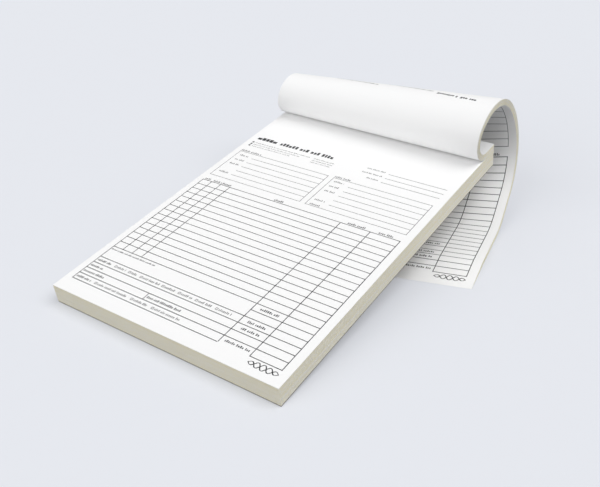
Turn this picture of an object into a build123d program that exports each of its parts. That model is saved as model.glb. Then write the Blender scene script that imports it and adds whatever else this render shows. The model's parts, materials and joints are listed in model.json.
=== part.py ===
from build123d import *
from math import asin, cos, radians, sin
import os

# Duplicate receipt book: a head-glued pad of two-part sets, its used sets turned over the head.
# Millimetres, +Z up, X across the page, +Y from the foot of the page to its head.
# The turned sets leave the pad as a flat stub, curl up and back over the head, drop behind it and
# run forward under the pad, so the pad leans on them with its foot on the table.

# Page and paper
PAGE_WIDTH = 139.7  # half letter
PAGE_LENGTH = 215.9
SHEET = 0.07  # one carbonless sheet
SHEETS_PER_SET = 2  # white original over its yellow duplicate
BOARD = 0.6  # chipboard under the last set
GLUE_FILM = 0.3  # padding compound brushed on the head

# Sets in the book
BLOCKS = 12  # bundles that the untouched sets are drawn in
SETS_PER_BLOCK = 6
TURNED_SETS = 26

# The sets drawn sheet by sheet, from below: the next one, and the one in use
NEXT_SET = ("next_duplicate", "next_original")
CURRENT_SET = ("current_duplicate", "current_original")
FLEX_LINE = 45.0  # from the head to the line where a lifted sheet bends, clear of the roll

# Attitude of the pad and the curl of the turned sets, radii on the printed (inner) face at the right edge
PAD_TILT = 8.45  # degrees, head up
STUB = 10.6  # flat run on the pad from the head
FRONT_RADIUS = 10.8
FRONT_TURN = 122.2
CROWN_RADIUS = 18.9
CROWN_TURN = 113.4
BACK_RADIUS = 31.7
LANDING_RADIUS = 34.0
LANDING_TURN = 30.3
ROLL_TAPER = 0.63  # left edge's radii over the right edge's
SPANS_PER_CURL = 2  # stiff spans that each of the three curls is cut into
STEPS_PER_SPAN = 4  # sections that each curved span is lofted through

SET = SHEETS_PER_SET * SHEET
BLOCK = SETS_PER_BLOCK * SET
PAD = BOARD + BLOCKS * BLOCK + len(NEXT_SET + CURRENT_SET) * SHEET
BUNDLE = TURNED_SETS * SET
TOTAL_TURN = 360.0 + PAD_TILT
BACK_TURN = TOTAL_TURN - FRONT_TURN - CROWN_TURN - LANDING_TURN
# Every sheet is one page long, so the inner sheets of the curl run past the outer ones at the free end.
STAGGER = radians(TOTAL_TURN) * BUNDLE
LEFT = -PAGE_WIDTH / 2
RIGHT = PAGE_WIDTH / 2

pad_frame = Location((0, 0, 0), (PAD_TILT, 0, 0))


def in_pad(y, z):
    """A point in the middle of the page, from the pad's own length and height."""
    return (pad_frame * Location((0, y, z))).position


def slab(y_from, y_to, z_from, z_to):
    """A flat piece over the whole page width, in the pad's own length and height."""
    size = (PAGE_WIDTH, y_to - y_from, z_to - z_from)
    return pad_frame * Pos(0, y_from, z_from) * Box(*size, align=(Align.CENTER, Align.MIN, Align.MIN))


class EdgeWalk:
    """One side edge of the printed face, followed from the stub's end to the free end."""

    def __init__(self, side, scale):
        self.side = side
        self.scale = scale
        self.point = in_pad(PAGE_LENGTH - STUB, PAD + BUNDLE) + Vector(side, 0, 0)
        self.heading = 180.0 + PAD_TILT
        self.used = STUB
        self.stations = [self.station()]

    def station(self):
        """The edge's inner and outer points, square to the leaf."""
        inward = Vector(0, sin(radians(self.heading)), -cos(radians(self.heading)))
        return self.point, self.point - inward * BUNDLE

    def step(self, length, chord, heading, swing):
        """Move on by a chord, swung sideways by as much of the final swing as the turn so far."""
        share = (180.0 + PAD_TILT - heading) / TOTAL_TURN
        sideways = swing * share
        along = radians(heading)
        self.point += Vector(sin(sideways), cos(sideways) * cos(along), sin(along)) * chord
        self.used += length

    def curl(self, radius, turn, steps, swing):
        angle = turn / steps
        arc = radius * self.scale * radians(angle)
        chord = 2 * radius * self.scale * sin(radians(angle) / 2)
        for _ in range(steps):
            self.step(arc, chord, self.heading - angle / 2, swing)
            self.heading -= angle
            self.stations.append(self.station())

    def straight(self, length, swing):
        self.step(length, length, self.heading, swing)
        self.stations.append(self.station())

    def follow(self, swing):
        """Curl over the head, drop straight as far as the table asks, and land flat."""
        for radius, turn in CURLS:
            self.curl(radius, turn, SPANS_PER_CURL * STEPS_PER_SPAN, swing)
        landing_drop = LANDING_RADIUS * self.scale * (1 - cos(radians(LANDING_TURN)))
        drop = self.point.Z - BUNDLE - landing_drop
        self.straight(drop / sin(radians(LANDING_TURN)), swing)
        self.curl(LANDING_RADIUS, LANDING_TURN, STEPS_PER_SPAN, swing)
        return self


CURLS = (
    (FRONT_RADIUS, FRONT_TURN),
    (CROWN_RADIUS, CROWN_TURN),
    (BACK_RADIUS, BACK_TURN),
)
# The tighter left edge spends less paper on the curl, which swings the free end out to the right.
paper_left = EdgeWalk(LEFT, ROLL_TAPER).follow(0).used
paper_right = EdgeWalk(RIGHT, 1).follow(0).used
SWING = asin((paper_right - paper_left) / PAGE_WIDTH)
left_edge = EdgeWalk(LEFT, ROLL_TAPER).follow(SWING)
right_edge = EdgeWalk(RIGHT, 1).follow(SWING)
stations = list(zip(left_edge.stations, right_edge.stations))


def section(left, right):
    """The cut through the turned sets along one ruling, from edge to edge."""
    return Wire.make_polygon([left[0], right[0], right[1], left[1]], close=True)


def span(first, last):
    """The turned sets between two stations, smooth along the curl."""
    return Solid.make_loft([section(*stations[i]) for i in range(first, last + 1)])


def tail_foot(edge, from_end):
    """A point on the table under one edge of the flat tail, counted back from the free end."""
    run = PAGE_LENGTH - edge.used - from_end
    return edge.stations[-1][1] + Vector(sin(SWING), -cos(SWING), 0) * run


def prism(direction, *corners):
    """A flat-sided piece: the outline through the corners, pushed along a direction."""
    return Solid.extrude(Face(Wire.make_polygon(corners, close=True)), direction)


parts = {}

# The pad, from the table up
parts["backing_board"] = slab(0, PAGE_LENGTH, 0, BOARD)
level = BOARD
for number in range(1, BLOCKS + 1):
    parts[f"unused_sets_{number:02d}"] = slab(0, PAGE_LENGTH, level, level + BLOCK)
    level += BLOCK
for name in NEXT_SET:
    parts[name] = slab(0, PAGE_LENGTH, level, level + SHEET)
    level += SHEET
flex = PAGE_LENGTH - FLEX_LINE
lift_axes = {}
for name in CURRENT_SET:
    parts[f"{name}_head"] = slab(flex, PAGE_LENGTH, level, level + SHEET)
    parts[name] = slab(0, flex, level, level + SHEET)
    level += SHEET
    lift_axes[name] = in_pad(flex, level)

# The turned sets
parts["turned_stub"] = slab(PAGE_LENGTH - STUB, PAGE_LENGTH, PAD, PAD + BUNDLE)
span_numbers = range(1, SPANS_PER_CURL + 1)
curl_names = [f"turned_{curl}_{number}" for curl in ("front", "crown", "back") for number in span_numbers]
for order, name in enumerate(curl_names):
    parts[name] = span(order * STEPS_PER_SPAN, (order + 1) * STEPS_PER_SPAN)
drop_start = len(curl_names) * STEPS_PER_SPAN
parts["turned_drop"] = span(drop_start, drop_start + 1)
parts["turned_landing"] = span(drop_start + 1, drop_start + 1 + STEPS_PER_SPAN)
landed_left, landed_right = (edge.stations[-1][1] for edge in (left_edge, right_edge))
first_left, first_right = (tail_foot(edge, STAGGER) for edge in (left_edge, right_edge))
last_left = tail_foot(left_edge, 0)
full, single = Vector(0, 0, BUNDLE), Vector(0, 0, SHEET)
parts["turned_tail"] = prism(full, landed_left, landed_right, first_right, first_left)
across = first_right - first_left
parts["turned_tail_ends"] = prism(across, first_left, last_left, last_left + single, first_left + full)
parts["head_glue"] = slab(PAGE_LENGTH, PAGE_LENGTH + GLUE_FILM, 0, PAD + BUNDLE)

# The origin is the middle of the whole book's footprint, on the table.
whole = Compound(list(parts.values())).bounding_box()
to_origin = Pos(-whole.center().X, -whole.center().Y, -whole.min.Z)

os.makedirs("parts", exist_ok=True)
for name, piece in parts.items():
    export_step(to_origin * piece, f"parts/{name}.step")
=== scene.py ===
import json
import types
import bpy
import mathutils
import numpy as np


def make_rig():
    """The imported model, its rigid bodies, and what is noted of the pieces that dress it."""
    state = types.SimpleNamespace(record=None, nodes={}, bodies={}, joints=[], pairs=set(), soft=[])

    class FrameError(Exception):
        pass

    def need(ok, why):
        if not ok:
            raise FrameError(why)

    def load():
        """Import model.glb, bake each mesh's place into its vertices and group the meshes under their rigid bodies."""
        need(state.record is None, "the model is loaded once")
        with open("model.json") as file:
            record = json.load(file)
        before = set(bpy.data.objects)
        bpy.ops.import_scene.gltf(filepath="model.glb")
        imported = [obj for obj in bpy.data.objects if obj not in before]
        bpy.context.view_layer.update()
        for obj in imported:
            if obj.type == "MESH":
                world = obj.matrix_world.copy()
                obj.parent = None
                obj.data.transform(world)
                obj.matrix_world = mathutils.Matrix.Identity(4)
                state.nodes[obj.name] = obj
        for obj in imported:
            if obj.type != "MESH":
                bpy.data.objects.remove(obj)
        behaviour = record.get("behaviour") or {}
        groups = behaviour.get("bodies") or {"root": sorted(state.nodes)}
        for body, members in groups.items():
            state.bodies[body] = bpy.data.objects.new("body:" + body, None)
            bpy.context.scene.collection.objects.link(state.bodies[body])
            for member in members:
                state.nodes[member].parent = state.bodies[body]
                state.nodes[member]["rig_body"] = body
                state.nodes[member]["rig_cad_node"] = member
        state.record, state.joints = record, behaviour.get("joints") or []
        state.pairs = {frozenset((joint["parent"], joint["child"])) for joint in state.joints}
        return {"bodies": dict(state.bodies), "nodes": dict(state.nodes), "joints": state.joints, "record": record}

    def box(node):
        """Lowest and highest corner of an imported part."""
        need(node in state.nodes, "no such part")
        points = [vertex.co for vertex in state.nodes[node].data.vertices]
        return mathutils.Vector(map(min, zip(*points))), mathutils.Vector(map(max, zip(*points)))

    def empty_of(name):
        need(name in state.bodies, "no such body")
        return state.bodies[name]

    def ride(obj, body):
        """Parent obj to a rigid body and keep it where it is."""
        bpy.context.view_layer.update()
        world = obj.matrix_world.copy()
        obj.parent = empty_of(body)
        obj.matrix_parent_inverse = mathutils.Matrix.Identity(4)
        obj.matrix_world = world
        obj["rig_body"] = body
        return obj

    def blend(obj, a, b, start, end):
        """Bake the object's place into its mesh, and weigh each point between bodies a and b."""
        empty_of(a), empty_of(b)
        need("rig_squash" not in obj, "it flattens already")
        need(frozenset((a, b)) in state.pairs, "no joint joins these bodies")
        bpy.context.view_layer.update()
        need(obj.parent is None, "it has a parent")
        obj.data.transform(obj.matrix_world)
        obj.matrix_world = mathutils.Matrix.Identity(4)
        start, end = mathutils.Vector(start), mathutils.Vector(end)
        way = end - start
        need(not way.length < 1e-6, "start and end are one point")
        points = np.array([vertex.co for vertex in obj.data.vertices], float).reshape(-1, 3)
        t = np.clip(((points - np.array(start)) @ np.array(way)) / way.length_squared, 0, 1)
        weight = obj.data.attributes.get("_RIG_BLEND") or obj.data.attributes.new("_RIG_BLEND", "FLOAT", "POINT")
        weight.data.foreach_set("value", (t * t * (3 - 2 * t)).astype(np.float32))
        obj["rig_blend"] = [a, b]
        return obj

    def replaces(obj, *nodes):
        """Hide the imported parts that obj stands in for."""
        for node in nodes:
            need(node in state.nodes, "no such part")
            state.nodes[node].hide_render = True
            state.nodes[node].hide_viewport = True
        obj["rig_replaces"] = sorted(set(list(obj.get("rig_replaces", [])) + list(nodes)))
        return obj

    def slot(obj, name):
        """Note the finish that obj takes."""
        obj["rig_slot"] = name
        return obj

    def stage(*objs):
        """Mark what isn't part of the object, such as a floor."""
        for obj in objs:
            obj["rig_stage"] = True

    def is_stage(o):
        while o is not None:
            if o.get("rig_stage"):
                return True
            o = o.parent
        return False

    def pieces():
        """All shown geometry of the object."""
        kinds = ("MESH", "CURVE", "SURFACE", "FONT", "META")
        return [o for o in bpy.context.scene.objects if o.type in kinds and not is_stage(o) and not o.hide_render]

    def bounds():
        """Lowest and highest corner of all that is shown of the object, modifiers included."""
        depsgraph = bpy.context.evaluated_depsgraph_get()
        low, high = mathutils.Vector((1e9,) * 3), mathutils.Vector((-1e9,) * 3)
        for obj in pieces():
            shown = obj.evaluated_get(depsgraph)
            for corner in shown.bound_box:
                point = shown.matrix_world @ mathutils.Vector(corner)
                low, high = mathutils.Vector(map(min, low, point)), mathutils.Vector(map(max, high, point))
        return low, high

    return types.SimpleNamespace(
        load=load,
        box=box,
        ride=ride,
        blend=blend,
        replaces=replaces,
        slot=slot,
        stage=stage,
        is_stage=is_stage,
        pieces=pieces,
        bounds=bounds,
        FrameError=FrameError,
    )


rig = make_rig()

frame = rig.load()

import json
import random
from bisect import bisect_right
from math import asin, ceil, cos, floor, pi, radians, sin

import bmesh
import bpy
from bpy.props import FloatProperty, FloatVectorProperty, IntProperty, PointerProperty
from mathutils import Matrix, Vector, noise

bl_info = {
    "name": "Receipt Book",
    "version": (1, 0, 0),
    "blender": (4, 5, 0),
    "location": "View3D > Sidebar > Receipt Book",
    "description": "Builds a head-glued duplicate receipt book sheet by sheet on its packed frame",
    "category": "Add Mesh",
}

CAD_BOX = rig.bounds()
BOARD_LOW, BOARD_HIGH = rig.box("backing_board")
MM = 0.001
LOOSE_SHEETS = "next_duplicate", "next_original", "current_duplicate", "current_original"


# Settings

class PaperSettings(bpy.types.PropertyGroup):
    """The page, its sheets and how they are stacked."""

    page_width: FloatProperty(
        name="Page width", description="Width of every sheet",
        default=BOARD_HIGH.x - BOARD_LOW.x, unit="LENGTH", precision=5)
    page_length: FloatProperty(
        name="Page length", description="Length of every sheet from head to foot",
        default=0.2159, unit="LENGTH", precision=5)
    sheet: FloatProperty(
        name="Sheet", description="Height that one sheet takes in the pad",
        default=0.07 * MM, unit="LENGTH", precision=6)
    air: FloatProperty(
        name="Air", description="Air left between one sheet and the next",
        default=0.006 * MM, unit="LENGTH", precision=6)
    board: FloatProperty(
        name="Board", description="Thickness of the backing board",
        default=0.6 * MM, unit="LENGTH", precision=5)
    glue: FloatProperty(
        name="Glue", description="Thickness of the glue brushed on the head",
        default=0.3 * MM, unit="LENGTH", precision=5)
    slip: FloatProperty(
        name="Slip", description="How far a sheet's cut edges may stand out of line",
        default=0.02 * MM, unit="LENGTH", precision=6)
    unused_sets: IntProperty(
        name="Unused sets", description="Untouched two-part sets on the board", default=72)
    turned_sheets: IntProperty(
        name="Turned sheets",
        description="Used sheets turned over the head, a white one outermost on both sides", default=51)
    flex_line: FloatProperty(
        name="Flex line",
        description="Distance from the head to the line where a lifted sheet starts to bend",
        default=0.045, unit="LENGTH")
    bend: FloatProperty(
        name="Bend", description="Length of sheet that a lift bends",
        default=0.026, unit="LENGTH")


class CurlSettings(bpy.types.PropertyGroup):
    """The pad's lean and the course of the turned sets, radii on the printed face at the right edge."""

    tilt: FloatProperty(
        name="Tilt", description="How far the pad's head is raised",
        default=radians(8.45), subtype="ANGLE")
    bundle: FloatProperty(
        name="Bundle", description="Thickness of the turned sets",
        default=3.64 * MM, unit="LENGTH", precision=5)
    stub: FloatProperty(
        name="Stub", description="Flat run of the turned sets on the pad",
        default=10.6 * MM, unit="LENGTH", precision=5)
    front_radius: FloatProperty(
        name="Front radius", description="Radius of the first curl",
        default=10.8 * MM, unit="LENGTH")
    front_turn: FloatProperty(
        name="Front turn", description="Angle of the first curl",
        default=radians(122.2), subtype="ANGLE")
    crown_radius: FloatProperty(
        name="Crown radius", description="Radius of the curl over the top",
        default=18.9 * MM, unit="LENGTH")
    crown_turn: FloatProperty(
        name="Crown turn", description="Angle of the curl over the top",
        default=radians(113.4), subtype="ANGLE")
    back_radius: FloatProperty(
        name="Back radius", description="Radius of the curl behind the head",
        default=31.7 * MM, unit="LENGTH")
    landing_radius: FloatProperty(
        name="Landing radius", description="Radius of the curl onto the table",
        default=34 * MM, unit="LENGTH")
    landing_turn: FloatProperty(
        name="Landing turn", description="Angle of the curl onto the table",
        default=radians(30.3), subtype="ANGLE")
    taper: FloatProperty(
        name="Taper", description="Left edge's radii over the right edge's", default=0.63)
    span_steps: IntProperty(
        name="Span steps", description="Sections in each span of a curl, an even number", default=12)


class PrintSettings(bpy.types.PropertyGroup):
    """The printed form."""

    row: FloatProperty(
        name="Row", description="Height of one row of the table",
        default=4.9 * MM, unit="LENGTH", precision=5)
    rule: FloatProperty(
        name="Rule", description="Weight of the table's lines",
        default=0.45 * MM, unit="LENGTH", precision=6)
    fine_rule: FloatProperty(
        name="Fine rule", description="Weight of the heading's lines",
        default=0.3 * MM, unit="LENGTH", precision=6)
    label: FloatProperty(
        name="Label", description="Height of the small type",
        default=1.5 * MM, unit="LENGTH", precision=5)
    reach: FloatProperty(
        name="Reach", description="Longest stretch of ink in one facet",
        default=4 * MM, unit="LENGTH")
    film: FloatProperty(
        name="Film", description="Height of the ink over the paper",
        default=0.004 * MM, unit="LENGTH", precision=6)
    seed: IntProperty(name="Seed", description="Choice of the type's letter widths", default=11)


class FinishSettings(bpy.types.PropertyGroup):
    """Colours of the papers, the ink, the board and the glue."""

    white: FloatVectorProperty(
        name="White paper", description="Colour of the originals",
        default=(0.94, 0.94, 0.94), subtype="COLOR", min=0, max=1)
    canary: FloatVectorProperty(
        name="Canary paper", description="Colour of the duplicates",
        default=(0.90, 0.83, 0.56), subtype="COLOR", min=0, max=1)
    ink: FloatVectorProperty(
        name="Ink", description="Colour of the print",
        default=(0.018, 0.018, 0.02), subtype="COLOR", min=0, max=1)
    board: FloatVectorProperty(
        name="Chipboard", description="Colour of the backing board",
        default=(0.36, 0.33, 0.28), subtype="COLOR", min=0, max=1)
    glue: FloatVectorProperty(
        name="Padding glue", description="Colour of the dried glue on the head",
        default=(0.88, 0.87, 0.83), subtype="COLOR", min=0, max=1)


class StageSettings(bpy.types.PropertyGroup):
    """Camera, floor and light."""

    camera_place: FloatVectorProperty(
        name="Camera place", description="Where the camera stands",
        default=(0.20957764, -0.32165942, 0.22626005), subtype="TRANSLATION", precision=5)
    camera_turn: FloatVectorProperty(
        name="Camera turn", description="How the camera is turned",
        default=(radians(60.22696), radians(0.14019), radians(34.82337)), subtype="EULER")
    lens: FloatProperty(
        name="Lens", description="Focal length in millimetres on a 36 mm wide sensor", default=47.84)
    floor_colour: FloatVectorProperty(
        name="Floor", description="Colour of the floor and the backdrop",
        default=(0.80, 0.82, 0.87), subtype="COLOR", min=0, max=1)
    floor_bounce: FloatProperty(
        name="Floor bounce", description="Share of its colour that the floor gives back as light",
        default=0.3)
    floor_glow: FloatProperty(
        name="Floor glow", description="Share of the floor's look that no shadow reaches",
        default=0.3)
    sky: FloatProperty(
        name="Sky", description="Strength of the even light from all sides", default=0.35)
    key: FloatProperty(
        name="Key", description="Strength of the soft light from above", default=1.7)
    key_turn: FloatVectorProperty(
        name="Key turn", description="How the soft light from above leans",
        default=(radians(28), 0, radians(100)), subtype="EULER")
    fill: FloatProperty(
        name="Fill", description="Strength of the soft light from the front", default=1.1)
    fill_turn: FloatVectorProperty(
        name="Fill turn", description="How the soft light from the front leans",
        default=(radians(63), 0, radians(-15)), subtype="EULER")
    spread: FloatProperty(
        name="Spread", description="Apparent width of both soft lights",
        default=radians(50), subtype="ANGLE")


# Finishes

class Finish:
    """A procedural surface on object coordinates, put together node by node."""

    MIX_FIRST, MIX_SECOND, MIX_RESULT = 6, 7, 2

    def __init__(self, name):
        self.material = bpy.data.materials.new(name)
        self.material.use_nodes = True
        self.nodes = self.material.node_tree.nodes
        self.links = self.material.node_tree.links
        self.shader = self.nodes["Principled BSDF"]
        self.place = self.nodes.new("ShaderNodeTexCoord").outputs["Object"]

    def stretched(self, scale):
        mapping = self.nodes.new("ShaderNodeMapping")
        mapping.inputs["Scale"].default_value = scale
        self.links.new(self.place, mapping.inputs["Vector"])
        return mapping.outputs["Vector"]

    def grain(self, scale, detail=3.0, roughness=0.55, place=None):
        texture = self.nodes.new("ShaderNodeTexNoise")
        texture.inputs["Scale"].default_value = scale
        texture.inputs["Detail"].default_value = detail
        texture.inputs["Roughness"].default_value = roughness
        self.links.new(place or self.place, texture.inputs["Vector"])
        return texture.outputs["Fac"]

    def flecks(self, scale, place=None):
        texture = self.nodes.new("ShaderNodeTexVoronoi")
        texture.inputs["Scale"].default_value = scale
        self.links.new(place or self.place, texture.inputs["Vector"])
        return texture.outputs["Distance"]

    def spread(self, value, low, high, to_low=0.0, to_high=1.0):
        ranged = self.nodes.new("ShaderNodeMapRange")
        for name, number in zip(("From Min", "From Max", "To Min", "To Max"), (low, high, to_low, to_high)):
            ranged.inputs[name].default_value = number
        self.links.new(value, ranged.inputs["Value"])
        return ranged.outputs["Result"]

    def mixed(self, share, first, second):
        mix = self.nodes.new("ShaderNodeMix")
        mix.data_type = "RGBA"
        self.links.new(share, mix.inputs["Factor"])
        for socket, colour in ((mix.inputs[self.MIX_FIRST], first), (mix.inputs[self.MIX_SECOND], second)):
            if isinstance(colour, bpy.types.NodeSocket):
                self.links.new(colour, socket)
            else:
                socket.default_value = (*colour, 1)
        return mix.outputs[self.MIX_RESULT]

    def colour(self, output):
        self.links.new(output, self.shader.inputs["Base Color"])

    def roughness(self, output):
        self.links.new(output, self.shader.inputs["Roughness"])

    def bump(self, height, distance, strength=0.5):
        node = self.nodes.new("ShaderNodeBump")
        node.inputs["Strength"].default_value = strength
        node.inputs["Distance"].default_value = distance
        self.links.new(height, node.inputs["Height"])
        self.links.new(node.outputs["Normal"], self.shader.inputs["Normal"])

    def gloss(self, level):
        self.shader.inputs["Specular IOR Level"].default_value = level


def shaded(colour, factor):
    return tuple(channel * factor for channel in colour)


def paper_finish(name, colour):
    """Uncoated paper: faint clouds where the pulp lies thicker, fine fibres and a dry surface."""
    if name in bpy.data.materials:
        return bpy.data.materials[name]
    finish = Finish(name)
    clouds = finish.spread(finish.grain(160, detail=2), 0.35, 0.65)
    fibres = finish.grain(2600, detail=4, roughness=0.65, place=finish.stretched((1, 0.35, 1)))
    sheet = finish.mixed(clouds, shaded(colour, 0.985), colour)
    finish.colour(finish.mixed(finish.spread(fibres, 0.25, 0.5), shaded(colour, 0.95), sheet))
    finish.roughness(finish.spread(fibres, 0.3, 0.7, 0.82, 0.94))
    finish.bump(fibres, distance=0.012 * MM, strength=0.35)
    finish.gloss(0.25)
    return finish.material


def ink_finish(name, colour):
    """Offset ink, a little thinner in places."""
    if name in bpy.data.materials:
        return bpy.data.materials[name]
    finish = Finish(name)
    thinning = 0.03
    density = finish.spread(finish.grain(1900), 0.35, 0.75)
    finish.colour(finish.mixed(density, colour, [channel + thinning for channel in colour]))
    finish.roughness(finish.spread(density, 0.0, 1.0, 0.55, 0.75))
    finish.gloss(0.3)
    return finish.material


def board_finish(name, colour):
    """Grey chipboard: pulp with lighter and darker flecks and a coarse felt."""
    finish = Finish(name)
    pulp = finish.grain(420, detail=6, roughness=0.7)
    specks = finish.spread(finish.flecks(850, finish.stretched((1, 0.5, 1))), 0.05, 0.35)
    body = finish.mixed(finish.spread(pulp, 0.3, 0.7), shaded(colour, 0.8), shaded(colour, 1.2))
    finish.colour(finish.mixed(specks, shaded(colour, 0.55), body))
    finish.roughness(finish.spread(pulp, 0.3, 0.7, 0.85, 0.97))
    finish.bump(pulp, distance=0.05 * MM)
    finish.gloss(0.2)
    return finish.material


def glue_finish(name, colour):
    """Dried padding glue: milky, with brush streaks along the head."""
    finish = Finish(name)
    streaks = finish.grain(700, detail=4, roughness=0.6, place=finish.stretched((0.08, 1, 1)))
    finish.colour(finish.mixed(finish.spread(streaks, 0.3, 0.7), shaded(colour, 0.86), colour))
    finish.roughness(finish.spread(streaks, 0.3, 0.7, 0.28, 0.5))
    finish.bump(streaks, distance=0.06 * MM, strength=0.6)
    finish.gloss(0.45)
    return finish.material


def seen_directly(tree):
    """1 for the rays that show a surface itself, 0 for those that only carry its light."""
    path = tree.nodes.new("ShaderNodeLightPath")
    seen = path.outputs["Is Camera Ray"]
    for name in ("Is Glossy Ray", "Is Transmission Ray"):
        either = tree.nodes.new("ShaderNodeMath")
        either.operation = "MAXIMUM"
        tree.links.new(seen, either.inputs[0])
        tree.links.new(path.outputs[name], either.inputs[1])
        seen = either.outputs["Value"]
    return seen


def floor_finish(name, colour, bounce, glow):
    """The pale studio floor: hardly any grain, partly aglow, and little light thrown back at the object."""
    finish = Finish(name)
    seen = seen_directly(finish.material.node_tree)
    lit = shaded(colour, 1 - glow)
    grain = finish.spread(finish.grain(60, detail=2), 0.3, 0.7)
    finish.colour(finish.mixed(seen, shaded(colour, bounce), finish.mixed(grain, shaded(lit, 0.997), lit)))
    finish.shader.inputs["Emission Color"].default_value = (*colour, 1)
    finish.links.new(finish.spread(seen, 0, 1, 0, glow), finish.shader.inputs["Emission Strength"])
    finish.shader.inputs["Roughness"].default_value = 0.9
    finish.gloss(0.0)
    return finish.material


def white_paper():
    return paper_finish("white_paper", bpy.context.scene.receipt_finish.white)


def canary_paper():
    return paper_finish("canary_paper", bpy.context.scene.receipt_finish.canary)


def form_ink():
    return ink_finish("form_ink", bpy.context.scene.receipt_finish.ink)


# Shared shapes

SHARP = radians(35)
WELD = 0.001 * MM


def piece(name, bm, material, slot):
    """The bmesh as a finished object at the origin, its curved faces smooth and its cut edges sharp."""
    for edge in bm.edges:
        edge.smooth = edge.is_manifold and edge.calc_face_angle() < SHARP
    for face in bm.faces:
        face.smooth = True
    mesh = bpy.data.meshes.new(name)
    bm.to_mesh(mesh)
    bm.free()
    mesh.materials.append(material)
    made = bpy.data.objects.new(name, mesh)
    bpy.context.scene.collection.objects.link(made)
    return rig.slot(made, slot)


def pad_matrix():
    """From the pad's own width, length and height to the frame: its foot edge lies on the table."""
    scene = bpy.context.scene
    tilt = scene.receipt_curl.tilt
    foot = Vector(((BOARD_LOW.x + BOARD_HIGH.x) / 2, BOARD_LOW.y + scene.receipt_paper.board * sin(tilt), 0))
    return Matrix.Translation(foot) @ Matrix.Rotation(tilt, 4, "X")


def add_slab(bm, low, high):
    """A box between two corners in the pad's own measures."""
    size = Vector(high) - Vector(low)
    middle = (Vector(high) + Vector(low)) / 2
    made = bmesh.ops.create_cube(
        bm, size=1, matrix=pad_matrix() @ Matrix.Translation(middle) @ Matrix.Diagonal((*size, 1)))
    return made["verts"]


def cut_across(bm, axis, cuts):
    """Cut every edge that runs along one axis of a unit box."""
    edges = [e for e in bm.edges if abs(e.verts[0].co[axis] - e.verts[1].co[axis]) > 0.9]
    bmesh.ops.subdivide_edges(bm, edges=edges, cuts=cuts, use_grid_fill=True)


def long_box(steps, columns=1):
    """A unit box cut into steps along Y and columns along X, to be laid out as one sheet."""
    bm = bmesh.new()
    bmesh.ops.create_cube(bm, size=1)
    cut_across(bm, 1, steps - 1)
    if columns > 1:
        cut_across(bm, 0, columns - 1)
    mesh = bpy.data.meshes.new("sheet")
    bm.to_mesh(mesh)
    bm.free()
    return mesh


def add_copy(bm, mesh):
    """Add a mesh to the bmesh and give back its new vertices."""
    before = len(bm.verts)
    bm.from_mesh(mesh)
    bm.verts.ensure_lookup_table()
    return bm.verts[before:]


def crease(flat, lines):
    """Cut a flat print where a sheet's facets meet, so that it lies on them however the sheet bends."""
    bm = bmesh.new()
    bm.from_mesh(flat)
    for point, square in lines:
        bmesh.ops.bisect_plane(
            bm, geom=[*bm.verts, *bm.edges, *bm.faces], dist=WELD, plane_co=point, plane_no=square)
    bm.to_mesh(flat)
    bm.free()


def stack_level(number):
    """Underside of a sheet in the pad, counted from the board."""
    paper = bpy.context.scene.receipt_paper
    return paper.board + number * paper.sheet


def pad_height():
    """Height of the pad up to the sheet in use, with the board."""
    return stack_level(2 * bpy.context.scene.receipt_paper.unused_sets + len(LOOSE_SHEETS))


def lift_bend(made, leaf, level):
    """A lifted sheet stays on the pad above the flex line and bends below it."""
    paper = bpy.context.scene.receipt_paper
    line = paper.page_length - paper.flex_line
    start, end = (pad_matrix() @ Vector((0, y, level)) for y in (line, line - paper.bend))
    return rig.blend(made, "pad", leaf, start, end)


# The printed form

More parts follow.
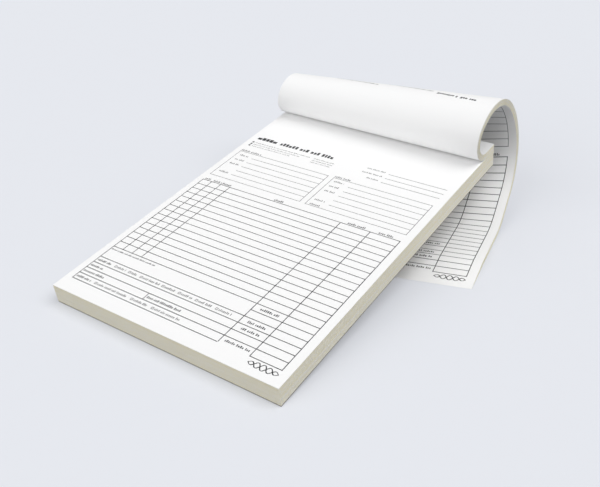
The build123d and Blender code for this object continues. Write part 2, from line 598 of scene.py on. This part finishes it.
class Form:
    """Ink on a flat page, measured in millimetres from the page's top left corner."""

    LETTERS = 3, 8
    LETTER_WIDTHS = 0.8, 1.25
    LETTER_HEIGHTS = 0.72, 0.72, 1.0
    WORD_GAP = 0.45
    DOT_SIDES = 14
    BRAID_WAVES = 2.5
    BRAID_STEPS = 72
    BRAID_PEN, BRAID_SWELL = 0.16, 0.36

    def __init__(self):
        paper, settings = bpy.context.scene.receipt_paper, bpy.context.scene.receipt_print
        self.width, self.length = paper.page_width / MM, paper.page_length / MM
        self.reach, self.row = settings.reach / MM, settings.row / MM
        self.heavy, self.fine = settings.rule / MM, settings.fine_rule / MM
        self.label = settings.label / MM
        self.choice = random.Random(settings.seed)
        self.bm = bmesh.new()

    def place(self, x, y):
        """From the page's top left corner to the pad's own measures."""
        return Vector((x - self.width / 2, self.length - y, 0)) * MM

    def patch(self, x0, y0, x1, y1):
        """A filled oblong, in facets short enough to follow a curl."""
        size = Vector((x1 - x0, y1 - y0, 0)) * MM
        middle = self.place((x0 + x1) / 2, (y0 + y1) / 2)
        bmesh.ops.create_grid(
            self.bm, x_segments=ceil((x1 - x0) / self.reach), y_segments=ceil((y1 - y0) / self.reach),
            size=0.5, matrix=Matrix.Translation(middle) @ Matrix.Diagonal((size.x, size.y, 1, 1)))

    def across(self, y, x0, x1, weight):
        self.patch(x0 - weight / 2, y - weight / 2, x1 + weight / 2, y + weight / 2)

    def down(self, x, y0, y1, weight):
        self.patch(x - weight / 2, y0 + weight / 2, x + weight / 2, y1 - weight / 2)

    def frame(self, x0, y0, x1, y1, weight):
        for y in (y0, y1):
            self.across(y, x0, x1, weight)
        for x in (x0, x1):
            self.down(x, y0, y1, weight)

    def words(self, x0, x1, y, height, weight=0.34, gap=0.3):
        """A run of type shown as small blocks of letter size, about the middle line y."""
        x, left = x0, self.choice.randint(*self.LETTERS)
        while x < x1:
            wide = height * self.choice.uniform(*self.LETTER_WIDTHS) * weight
            rise = height * self.choice.choice(self.LETTER_HEIGHTS)
            self.patch(x, y + height / 2 - rise, min(x + wide, x1 + wide / 2), y + height / 2)
            x += wide + gap * height
            left -= 1
            if not left:
                x += self.WORD_GAP * height
                left = self.choice.randint(*self.LETTERS)

    def tick_box(self, x, y, side):
        self.frame(x, y - side / 2, x + side, y + side / 2, self.fine)

    def dot(self, x, y, radius):
        bmesh.ops.create_circle(
            self.bm, cap_ends=True, segments=self.DOT_SIDES, radius=radius * MM,
            matrix=Matrix.Translation(self.place(x, y)))

    def braid(self, x0, x1, y, height):
        """A printer's ornament: two strands that cross and die away at both ends, thick where they cross."""
        for way in (1, -1):
            made = bmesh.ops.create_grid(self.bm, x_segments=self.BRAID_STEPS, y_segments=1, size=0.5)
            for vertex in made["verts"]:
                along, side = vertex.co.x + 0.5, vertex.co.y * 2
                turn = 2 * pi * self.BRAID_WAVES * along
                swell = max(0.0, sin(pi * along)) ** 0.5
                pen = self.BRAID_PEN + self.BRAID_SWELL * abs(cos(turn)) * swell
                rise = 0.5 * height * way * swell * sin(turn)
                vertex.co = self.place(x0 + (x1 - x0) * along, y - rise + pen * side)

    def heading(self):
        """Plain blocks of large and small type, and three lines to fill in at the right."""
        self.words(4.8, 19.4, 49.9, 3.0, weight=0.8, gap=0.14)
        self.words(22.0, 59.4, 49.9, 3.0, weight=0.5, gap=0.2)
        for y in (55.4, 57.5, 59.5):
            self.dot(4.7, y, 0.75)
            self.words(6.6, 47.2 - 3 * (y - 55.4), y, 0.85, weight=0.3, gap=0.34)
            self.words(50.2, 64.2, y, 0.85, weight=0.3, gap=0.34)
        for y, x in ((50.2, 84.2), (54.8, 83.4), (59.4, 89.0)):
            self.words(x, 96.0, y, 1.2)
            self.across(y + 0.9, 98.7, 134.8, self.fine)

    def address_boxes(self):
        """Two framed boxes of labelled lines to fill in, side by side."""
        left = (
            4.2, 67.7, 68.4, 97.2, 19.0, 7.0, 16.2,
            (71.6, 76.7, 81.7, 91.7), (72.4, 77.4, 82.4, 87.4, 92.3))
        right = (
            72.3, 68.0, 134.8, 97.5, 83.2, 74.7, 84.8,
            (71.1, 76.2, 81.3, 91.2, 96.0), (73.0, 78.0, 83.0, 87.9, 92.8))
        for x0, y0, x1, y1, title_end, label_x, line_x, labels, lines in (left, right):
            self.frame(x0, y0, x1, y1, self.fine)
            self.words(x0, title_end, y0 - 1.5, self.label)
            for y in labels:
                self.words(label_x, label_x + 6.2, y, self.label, weight=0.3)
            for y in lines:
                self.across(y, line_x, x1, self.fine)

    def table(self):
        """Item rows over the full width, then boxes to fill in at the left and totals at the right."""
        top, heavy = 103.7, self.heavy
        items, boxes, split, totals, last = 15, 17, 19, 20, 21
        level = [top + self.row * number for number in range(last + 1)]
        edge, price, amount, end = 4.3, 99.3, 117.4, 134.8
        for number, y in enumerate(level):
            if number <= items:
                self.across(y, edge, end, heavy)
            elif number <= totals:
                self.across(y, price, end, heavy)
            else:
                self.across(y, amount, end, heavy)
            if number >= boxes:
                self.across(y, edge, price - heavy, heavy)
        for x in (edge, price, amount, end):
            self.down(x, level[0], level[last], heavy)
        for x in (10.9, 17.6, 24.3):
            self.down(x, level[0], level[items], heavy)
        self.down(48.3, level[split], level[totals], heavy)
        for x0, x1 in ((5.0, 9.2), (11.2, 17.2), (18.0, 23.8), (55.0, 60.8), (103.0, 113.7), (121.7, 130.8)):
            self.words(x0, x1, top - 1.5, self.label, weight=0.4, gap=0.26)
        self.words(5.0, 35.8, 179.3, 1.0, weight=0.42, gap=0.24)
        for x0, x1, number in (
                (5.3, 14.3, 17), (5.3, 13.3, 18), (5.3, 19.5, 19), (49.4, 70.8, 19), (5.3, 15.0, 20)):
            self.words(x0, x1, level[number] + self.row / 2, self.label, weight=0.4, gap=0.26)
        pay = (17.5, 24.7), (27.2, 33.3), (35.3, 48.0), (50.0, 58.3), (60.8, 69.2), (71.7, 81.3), (84.2, 93.3)
        sale = (18.0, 39.7), (43.0, 53.3), (56.7, 74.2)
        for number, options in ((boxes, pay), (totals, sale)):
            y = level[number] + self.row / 2
            for x0, x1 in options:
                self.tick_box(x0, y, 1.2)
                self.words(x0 + 2.0, x1, y, self.label, weight=0.3)
        for x0, x1, number in (
                (103.3, 113.3, 15), (103.3, 113.3, 17), (103.3, 113.3, 18), (101.7, 115.3, 20)):
            self.words(x0, x1, level[number] + self.row / 2, self.label, weight=0.4, gap=0.26)

    def front(self):
        """The whole form, lying flat in the pad's own measures."""
        self.heading()
        self.address_boxes()
        self.table()
        self.braid(118.6, 135.2, 209.6, 3.6)
        return self.mesh()

    def back(self):
        """The few lines of small type on the back of a sheet."""
        for x0, x1, y in ((30.0, 62.0, 46.6), (66.0, 98.0, 51.4)):
            self.words(x0, x1, y, 1.0, weight=0.45, gap=0.25)
        for x0, x1 in ((102.0, 112.4), (114.4, 115.4), (117.4, 121.4), (123.2, 127.4)):
            self.words(x0, x1, 50.2, 1.7, weight=0.62, gap=0.2)
        return self.mesh()

    def mesh(self):
        """The ink so far as a mesh, every facet facing up."""
        made = bpy.data.meshes.new("form")
        bmesh.ops.recalc_face_normals(self.bm, faces=self.bm.faces)
        for face in self.bm.faces:
            if face.normal.z < 0:
                face.normal_flip()
        self.bm.to_mesh(made)
        self.bm.free()
        return made


# The turned sets

SPANS_PER_CURL = 2
SHEET_COLUMNS = 8
CURLS = "front", "crown", "back"
SPANS = tuple(f"turned_{curl}_{number + 1}" for curl in CURLS for number in range(SPANS_PER_CURL))
TAIL_NODES = "turned_drop", "turned_landing", "turned_tail", "turned_tail_ends"
CHAIN = ("pad", *SPANS[1:], "turned_tail")
CHAIN_NODES = (("turned_stub", SPANS[0]), *((span,) for span in SPANS[1:-1]), (SPANS[-1], *TAIL_NODES))


class Course:
    """The way of the turned sets, as stations from the head glue to the free end.

    Each station has both edges of the printed face, the direction into the sheets, and the paper used up to
    it at both edges. The last stations lie flat on the table, where the sheets end one after the other.
    """

    DROP_STEPS = 4
    TAIL_STEPS = 6
    END_STEPS = 8
    BEND_SHARE = 0.95

    def __init__(self):
        scene = bpy.context.scene
        self.paper, self.curl = scene.receipt_paper, scene.receipt_curl
        self.total = 2 * pi + self.curl.tilt
        self.half = self.paper.page_width / 2
        self.pad = pad_height()
        spent = [self.edge(side, scale, 0)[-1][2] for side, scale in self.edges()]
        self.swing = asin((spent[1] - spent[0]) / self.paper.page_width)
        left, right = (self.edge(side, scale, self.swing) for side, scale in self.edges())
        self.left, self.right = [s[0] for s in left], [s[0] for s in right]
        self.heading = [s[1] for s in left]
        self.used_left, self.used_right = [s[2] for s in left], [s[2] for s in right]
        self.landed = len(left) - 1
        self.stagger = self.total * self.curl.bundle
        self.rows = self.landed + self.TAIL_STEPS + self.END_STEPS
        self.hinges = [1 + self.curl.span_steps * number for number in range(1, len(CHAIN))]

    def edges(self):
        return (-self.half, self.curl.taper), (self.half, 1.0)

    def edge(self, side, scale, swing):
        """One edge of the printed face: point, heading and paper used at each station."""
        curl, steps = self.curl, self.curl.span_steps
        heading = pi + curl.tilt
        pad, top = pad_matrix(), self.pad + curl.bundle
        head, stub = (pad @ Vector((side, self.paper.page_length - run, top)) for run in (0, curl.stub))
        stations = [(head, heading, 0.0), (stub, heading, curl.stub)]

        def move(length, chord, middle, turned):
            point, _, used = stations[-1]
            lean = swing * (pi + curl.tilt - middle) / self.total
            step = Vector((sin(lean), cos(lean) * cos(middle), sin(middle))) * chord
            stations.append((point + step, turned, used + length))

        def bend(radius, turn, count):
            angle = turn / count
            for _ in range(count):
                at = stations[-1][1]
                move(radius * scale * angle, 2 * radius * scale * sin(angle / 2), at - angle / 2, at - angle)

        back_turn = self.total - curl.front_turn - curl.crown_turn - curl.landing_turn
        for radius, turn in (
                (curl.front_radius, curl.front_turn), (curl.crown_radius, curl.crown_turn),
                (curl.back_radius, back_turn)):
            bend(radius, turn, SPANS_PER_CURL * steps)
        fall = stations[-1][0].z - curl.bundle - curl.landing_radius * scale * (1 - cos(curl.landing_turn))
        for _ in range(self.DROP_STEPS):
            run = fall / sin(curl.landing_turn) / self.DROP_STEPS
            move(run, run, stations[-1][1], stations[-1][1])
        bend(curl.landing_radius, curl.landing_turn, steps)
        return stations

    def inward(self, row):
        """From the outermost sheet towards the printed face, square to the leaf."""
        heading = self.heading[min(row, self.landed)]
        return Vector((0, sin(heading), -cos(heading)))

    def tail_runs(self, row, depth):
        """How far a flat station is from the free end at both edges, for the sheet at a depth."""
        starts = self.paper.page_length - self.used_left[-1], self.paper.page_length - self.used_right[-1]
        flat = row - self.landed
        if flat <= self.TAIL_STEPS:
            share = flat / self.TAIL_STEPS
            return [start + (self.stagger - start) * share for start in starts]
        share = (flat - self.TAIL_STEPS) / self.END_STEPS
        left = self.stagger + (self.stagger * depth / self.curl.bundle - self.stagger) * share
        return [left, left]

    def used(self, row, share):
        """Paper between the head and a station of the printed face."""
        if row <= self.landed:
            left, right = self.used_left[row], self.used_right[row]
        else:
            left, right = (self.paper.page_length - run for run in self.tail_runs(row, 0))
        return left + (right - left) * share

    def at(self, row, share, depth):
        """A point of the turned sets by station, share of the width, and depth under the printed face."""
        if row <= self.landed:
            return self.left[row].lerp(self.right[row], share) - self.inward(row) * depth
        runs = self.tail_runs(row, depth)
        way = Vector((sin(self.swing), -cos(self.swing), 0))
        points = []
        for run, edge, used in zip(runs, (self.left, self.right), (self.used_left, self.used_right)):
            points.append(edge[-1] + way * (self.paper.page_length - used[-1] - run))
        point = points[0].lerp(points[1], share)
        height = self.curl.bundle * min(1.0, runs[0] / self.stagger)
        point.z = max(height - depth, 0.0)
        return point

    def on_sheet(self, x, y, depth, lift):
        """Where a point of the flat page lies on the curl, and its station. Depth 0 is the printed face."""
        share = x / self.paper.page_width + 0.5
        spent = [self.used(row, share) for row in range(self.rows + 1)]
        wanted = min(max(self.paper.page_length - y, 0.0), spent[-1])
        row = min(max(bisect_right(spent, wanted) - 1, 0), self.rows - 1)
        part = (wanted - spent[row]) / (spent[row + 1] - spent[row])
        start, end = (self.at(r, share, depth) for r in (row, row + 1))
        way = self.inward(row).lerp(self.inward(row + 1), part).normalized()
        return start.lerp(end, part) + way * lift, row + part

    def facet_lines(self):
        """Where a turned sheet's facets meet on the flat page: points and the ways square to the lines."""
        wide, long = self.paper.page_width, self.paper.page_length
        lines = [(Vector((wide * (column / SHEET_COLUMNS - 0.5), 0, 0)), Vector((1, 0, 0)))
                 for column in range(1, SHEET_COLUMNS)]
        for row in range(1, self.rows):
            left, right = (
                Vector((wide * (share - 0.5), long - self.used(row, share), 0)) for share in (0, 1))
            lines.append((left, Vector((left.y - right.y, right.x - left.x, 0))))
        return lines

    def seams(self):
        """Station ranges of the pieces, cut halfway between hinges, where all sheets follow one body."""
        half = self.curl.span_steps // 2
        cuts = [0] + [hinge + half for hinge in self.hinges[:-1]] + [self.rows]
        return list(zip(cuts[:-1], cuts[1:]))

    def bend_points(self, number):
        """Start and end of the bend at a hinge, inside the piece's two seams at all its corners."""
        hinge = self.hinges[number]
        half = self.curl.span_steps // 2
        outer = self.curl.bundle
        middle, ahead, behind = (self.at(row, 0.5, outer) for row in (hinge, hinge + 1, hinge - 1))
        way = (ahead - behind).normalized()
        room = [
            min(abs((self.at(row, share, depth) - middle).dot(way))
                for share in (0, 1) for depth in (0, outer))
            for row in (hinge - half, min(hinge + half, self.landed))
        ]
        return middle - way * self.BEND_SHARE * room[0], middle + way * self.BEND_SHARE * room[1]


def curl_bend(made, course, number):
    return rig.blend(made, CHAIN[number], CHAIN[number + 1], *course.bend_points(number))


# Operators

class RECEIPTBOOK_OT_stage(bpy.types.Operator):
    """Pale floor, soft light and the camera"""

    bl_idname = "receipt_book.stage"
    bl_label = "Stage"
    FLOOR_RADIUS = 6
    FLOOR_SIDES = 96
    FLOOR_GAP = 0.05 * MM
    SENSOR_WIDTH = 36
    VIEW_RANGE = 0.01, 50

    def execute(self, context):
        scene, stage = context.scene, context.scene.receipt_stage
        scene.view_settings.view_transform = "Standard"
        bm = bmesh.new()
        bmesh.ops.create_circle(
            bm, cap_ends=True, segments=self.FLOOR_SIDES, radius=self.FLOOR_RADIUS,
            matrix=Matrix.Translation((0, 0, -self.FLOOR_GAP)))
        mesh = bpy.data.meshes.new("floor")
        bm.to_mesh(mesh)
        bm.free()
        mesh.materials.append(floor_finish(
            "studio_floor", stage.floor_colour, stage.floor_bounce, stage.floor_glow))
        floor = bpy.data.objects.new("floor", mesh)
        scene.collection.objects.link(floor)
        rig.stage(floor)
        self.light(scene, stage)
        camera = bpy.data.cameras.new("camera")
        camera.lens, camera.sensor_width, camera.sensor_fit = stage.lens, self.SENSOR_WIDTH, "HORIZONTAL"
        camera.clip_start, camera.clip_end = self.VIEW_RANGE
        holder = bpy.data.objects.new("camera", camera)
        holder.location, holder.rotation_euler = stage.camera_place, stage.camera_turn
        scene.collection.objects.link(holder)
        scene.camera = holder
        return {"FINISHED"}

    def light(self, scene, stage):
        """An even sky that shows the floor's colour to the camera, and two wide lamps."""
        world = bpy.data.worlds.new("studio")
        world.use_nodes = True
        nodes, links = world.node_tree.nodes, world.node_tree.links
        sky = nodes["Background"]
        sky.inputs["Color"].default_value = (1, 1, 1, 1)
        sky.inputs["Strength"].default_value = stage.sky
        backdrop = nodes.new("ShaderNodeBackground")
        backdrop.inputs["Color"].default_value = (*stage.floor_colour, 1)
        mix = nodes.new("ShaderNodeMixShader")
        links.new(seen_directly(world.node_tree), mix.inputs["Fac"])
        links.new(sky.outputs["Background"], mix.inputs[1])
        links.new(backdrop.outputs["Background"], mix.inputs[2])
        links.new(mix.outputs["Shader"], nodes["World Output"].inputs["Surface"])
        scene.world = world
        lamps = ("key", stage.key, stage.key_turn), ("fill", stage.fill, stage.fill_turn)
        for name, strength, turn in lamps:
            light = bpy.data.lights.new(name, "SUN")
            light.energy, light.angle = strength, stage.spread
            lamp = bpy.data.objects.new(name, light)
            lamp.rotation_euler = turn
            scene.collection.objects.link(lamp)


class RECEIPTBOOK_OT_board(bpy.types.Operator):
    """The chipboard under the last set, its cut edges a little softened"""

    bl_idname = "receipt_book.board"
    bl_label = "Backing Board"
    SOFTENING = 0.06 * MM

    def execute(self, context):
        paper = context.scene.receipt_paper
        finish = board_finish("chipboard", context.scene.receipt_finish.board)
        half = paper.page_width / 2
        bm = bmesh.new()
        add_slab(bm, (-half, 0, 0), (half, paper.page_length, paper.board))
        bmesh.ops.bevel(
            bm, geom=list(bm.edges), offset=self.SOFTENING, offset_type="OFFSET", segments=2, profile=0.5,
            affect="EDGES", material=-1)
        board = piece("chip_board", bm, finish, "chipboard")
        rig.ride(board, "pad")
        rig.replaces(board, "backing_board")
        return {"FINISHED"}


class RECEIPTBOOK_OT_unused_sets(bpy.types.Operator):
    """The untouched sets, sheet by sheet, white originals over canary duplicates"""

    bl_idname = "receipt_book.unused_sets"
    bl_label = "Unused Sets"
    SEED = 3

    def execute(self, context):
        paper = context.scene.receipt_paper
        half = paper.page_width / 2
        choice = random.Random(self.SEED)
        stacks = bmesh.new(), bmesh.new()
        for number in range(2 * paper.unused_sets):
            left, right, foot = (choice.uniform(-paper.slip, paper.slip) for _ in range(3))
            level = stack_level(number)
            add_slab(
                stacks[number % 2], (left - half, foot, level),
                (right + half, paper.page_length, level + paper.sheet - paper.air))
        duplicates = piece("unused_duplicates", stacks[0], canary_paper(), "yellow_paper")
        originals = piece("unused_originals", stacks[1], white_paper(), "white_paper")
        for stack in (duplicates, originals):
            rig.ride(stack, "pad")
        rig.replaces(originals, *(node for node in frame["nodes"] if node.startswith("unused_sets_")))
        return {"FINISHED"}


class RECEIPTBOOK_OT_loose_sheets(bpy.types.Operator):
    """The next set and the set in use, each sheet with its printed form"""

    bl_idname = "receipt_book.loose_sheets"
    bl_label = "Loose Sheets"
    SHEET_STEPS = 480

    def execute(self, context):
        paper, film = context.scene.receipt_paper, context.scene.receipt_print.film
        first = 2 * paper.unused_sets
        form, template = Form().front(), long_box(self.SHEET_STEPS)
        crease(form, self.facet_lines(paper))
        for number, name in enumerate(LOOSE_SHEETS):
            white = name.endswith("original")
            slot = "white_paper" if white else "yellow_paper"
            level = stack_level(first + number)
            bm = bmesh.new()
            middle = Vector((0, paper.page_length / 2, level + (paper.sheet - paper.air) / 2))
            size = Matrix.Diagonal((paper.page_width, paper.page_length, paper.sheet - paper.air, 1))
            bmesh.ops.transform(
                bm, matrix=pad_matrix() @ Matrix.Translation(middle) @ size, verts=add_copy(bm, template))
            sheet = piece(f"{name}_sheet", bm, white_paper() if white else canary_paper(), slot)
            bm = bmesh.new()
            height = level + paper.sheet - paper.air + film
            bmesh.ops.transform(
                bm, matrix=pad_matrix() @ Matrix.Translation((0, 0, height)), verts=add_copy(bm, form))
            ink = piece(f"{name}_print", bm, form_ink(), slot)
            for made in (sheet, ink):
                if name.startswith("current"):
                    lift_bend(made, name, level + paper.sheet)
                else:
                    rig.ride(made, "pad")
            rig.replaces(sheet, *((name, f"{name}_head") if name.startswith("current") else (name,)))
        bpy.data.meshes.remove(form)
        bpy.data.meshes.remove(template)
        return {"FINISHED"}

    def facet_lines(self, paper):
        """Where a loose sheet's facets meet along its bend, on the flat page."""
        facet = paper.page_length / self.SHEET_STEPS
        bend_start = paper.page_length - paper.flex_line
        bent = range(floor((bend_start - paper.bend) / facet), ceil(bend_start / facet) + 1)
        return [(Vector((0, row * facet, 0)), Vector((0, 1, 0))) for row in bent]


class RECEIPTBOOK_OT_turned_sets(bpy.types.Operator):
    """The used sets, sheet by sheet round the curl, cut into pieces that follow the chain of bodies"""

    bl_idname = "receipt_book.turned_sets"
    bl_label = "Turned Sets"
    SEED = 5

    def execute(self, context):
        paper, course = context.scene.receipt_paper, Course()
        pitch = context.scene.receipt_curl.bundle / paper.turned_sheets
        choice = random.Random(self.SEED)
        slips = [[choice.uniform(-paper.slip, paper.slip) / paper.page_width for _ in range(2)]
                 for _ in range(paper.turned_sheets)]
        for number, (first, last) in enumerate(course.seams()):
            template = long_box(last - first, SHEET_COLUMNS)
            stacks = bmesh.new(), bmesh.new()
            for sheet, (left, right) in enumerate(slips):
                top = sheet * pitch + (paper.air / 2 if sheet else 0)
                for vertex in add_copy(stacks[sheet % 2], template):
                    across, along, down = (channel + 0.5 for channel in vertex.co)
                    row = first + round(along * (last - first))
                    under = top + (1 - down) * (pitch - paper.air)
                    # at the free end both faces of a sheet stop together
                    spot = course.at(row, left + across * (1 + right - left), top)
                    if row <= course.landed:
                        spot -= course.inward(row) * (under - top)
                    else:
                        spot.z = max(spot.z - (under - top), 0.0)
                    vertex.co = spot
            for bm in stacks:
                bmesh.ops.recalc_face_normals(bm, faces=bm.faces)
            originals = piece(f"turned_originals_{number + 1}", stacks[0], white_paper(), "white_paper")
            duplicates = piece(f"turned_duplicates_{number + 1}", stacks[1], canary_paper(), "yellow_paper")
            for stack in (originals, duplicates):
                curl_bend(stack, course, number)
            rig.replaces(originals, *CHAIN_NODES[number])
            bpy.data.meshes.remove(template)
        return {"FINISHED"}


class RECEIPTBOOK_OT_turned_print(bpy.types.Operator):
    """The form on the innermost turned sheet, and the small type on the back of the outermost one"""

    bl_idname = "receipt_book.turned_print"
    bl_label = "Turned Print"
    FILMS = 3

    def execute(self, context):
        lift = context.scene.receipt_print.film * self.FILMS
        self.lay("turned_print", Form().front(), 0, lift)
        self.lay("turned_notice", Form().back(), context.scene.receipt_curl.bundle, -lift)
        return {"FINISHED"}

    def lay(self, name, form, depth, lift):
        """Put a flat print on the sheet at a depth, cut at the same seams as the sheets."""
        course = Course()
        crease(form, course.facet_lines())
        for number, (first, last) in enumerate(course.seams()):
            bm = bmesh.new()
            station = {}
            for vertex in add_copy(bm, form):
                vertex.co, station[vertex] = course.on_sheet(vertex.co.x, vertex.co.y, depth, lift)
            away = [
                face for face in bm.faces
                if not first <= sum(station[v] for v in face.verts) / len(face.verts) < last]
            bmesh.ops.delete(bm, geom=away, context="FACES")
            if not bm.faces:
                bm.free()
                continue
            if lift < 0:
                bmesh.ops.reverse_faces(bm, faces=bm.faces)
            ink = piece(f"{name}_{number + 1}", bm, form_ink(), "white_paper")
            curl_bend(ink, course, number)
        bpy.data.meshes.remove(form)


class RECEIPTBOOK_OT_glue(bpy.types.Operator):
    """The padding glue brushed on the head, uneven and thin at its rim"""

    bl_idname = "receipt_book.glue"
    bl_label = "Head Glue"
    COLUMNS, ROWS = 90, 16
    RIM = 1.2 * MM
    RIM_SHARE, WAVE_SHARE = 0.35, 0.3

    def execute(self, context):
        paper, curl = context.scene.receipt_paper, context.scene.receipt_curl
        height = pad_height() + curl.bundle
        bm = bmesh.new()
        bmesh.ops.create_cube(bm, size=1)
        cut_across(bm, 0, self.COLUMNS - 1)
        cut_across(bm, 2, self.ROWS - 1)
        for vertex in bm.verts:
            across, out, up = vertex.co
            x, z = across * paper.page_width, (up + 0.5) * height
            film = 0.0
            if out > 0:
                rim = min((0.5 - abs(across)) * paper.page_width, (0.5 - abs(up)) * height) / self.RIM
                wave = noise.noise((x * 60, 0, z * 420)) * 0.5 + 0.5
                film = paper.glue * (self.RIM_SHARE + (1 - self.RIM_SHARE) * min(1, rim))
                film *= 1 - self.WAVE_SHARE + self.WAVE_SHARE * wave
            vertex.co = pad_matrix() @ Vector((x, paper.page_length + film, z))
        finish = glue_finish("padding_glue", context.scene.receipt_finish.glue)
        glue = piece("glue_film", bm, finish, "padding_glue")
        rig.ride(glue, "pad")
        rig.replaces(glue, "head_glue")
        return {"FINISHED"}


class RECEIPTBOOK_PT_panel(bpy.types.Panel):
    """Sizes, finishes and steps of the receipt book"""

    bl_idname = "RECEIPTBOOK_PT_panel"
    bl_label = "Receipt Book"
    bl_space_type = "VIEW_3D"
    bl_region_type = "UI"
    bl_category = "Receipt Book"

    def draw(self, context):
        for step in STEPS:
            self.layout.operator(step.bl_idname)
        for name, group in GROUPS.items():
            box = self.layout.box()
            box.label(text=name.replace("receipt_", "").capitalize())
            for setting in group.__annotations__:
                box.prop(getattr(context.scene, name), setting)


GROUPS = {
    "receipt_paper": PaperSettings,
    "receipt_curl": CurlSettings,
    "receipt_print": PrintSettings,
    "receipt_finish": FinishSettings,
    "receipt_stage": StageSettings,
}
STEPS = (
    RECEIPTBOOK_OT_stage,
    RECEIPTBOOK_OT_board,
    RECEIPTBOOK_OT_unused_sets,
    RECEIPTBOOK_OT_loose_sheets,
    RECEIPTBOOK_OT_turned_sets,
    RECEIPTBOOK_OT_turned_print,
    RECEIPTBOOK_OT_glue,
)


def register():
    for group in (*GROUPS.values(), *STEPS, RECEIPTBOOK_PT_panel):
        bpy.utils.register_class(group)
    for name, group in GROUPS.items():
        setattr(bpy.types.Scene, name, PointerProperty(type=group))


def unregister():
    for name in GROUPS:
        delattr(bpy.types.Scene, name)
    for group in (RECEIPTBOOK_PT_panel, *reversed(STEPS), *reversed(GROUPS.values())):
        bpy.utils.unregister_class(group)


def main():
    register()
    bpy.ops.receipt_book.stage()
    bpy.ops.receipt_book.board()
    bpy.ops.receipt_book.unused_sets()
    bpy.ops.receipt_book.loose_sheets()
    bpy.ops.receipt_book.turned_sets()
    bpy.ops.receipt_book.turned_print()
    bpy.ops.receipt_book.glue()
    with open("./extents.json", "w") as file:
        json.dump({"cad": [list(c) for c in CAD_BOX], "visual": [list(c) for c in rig.bounds()]}, file)


if __name__ == "__main__":
    main()
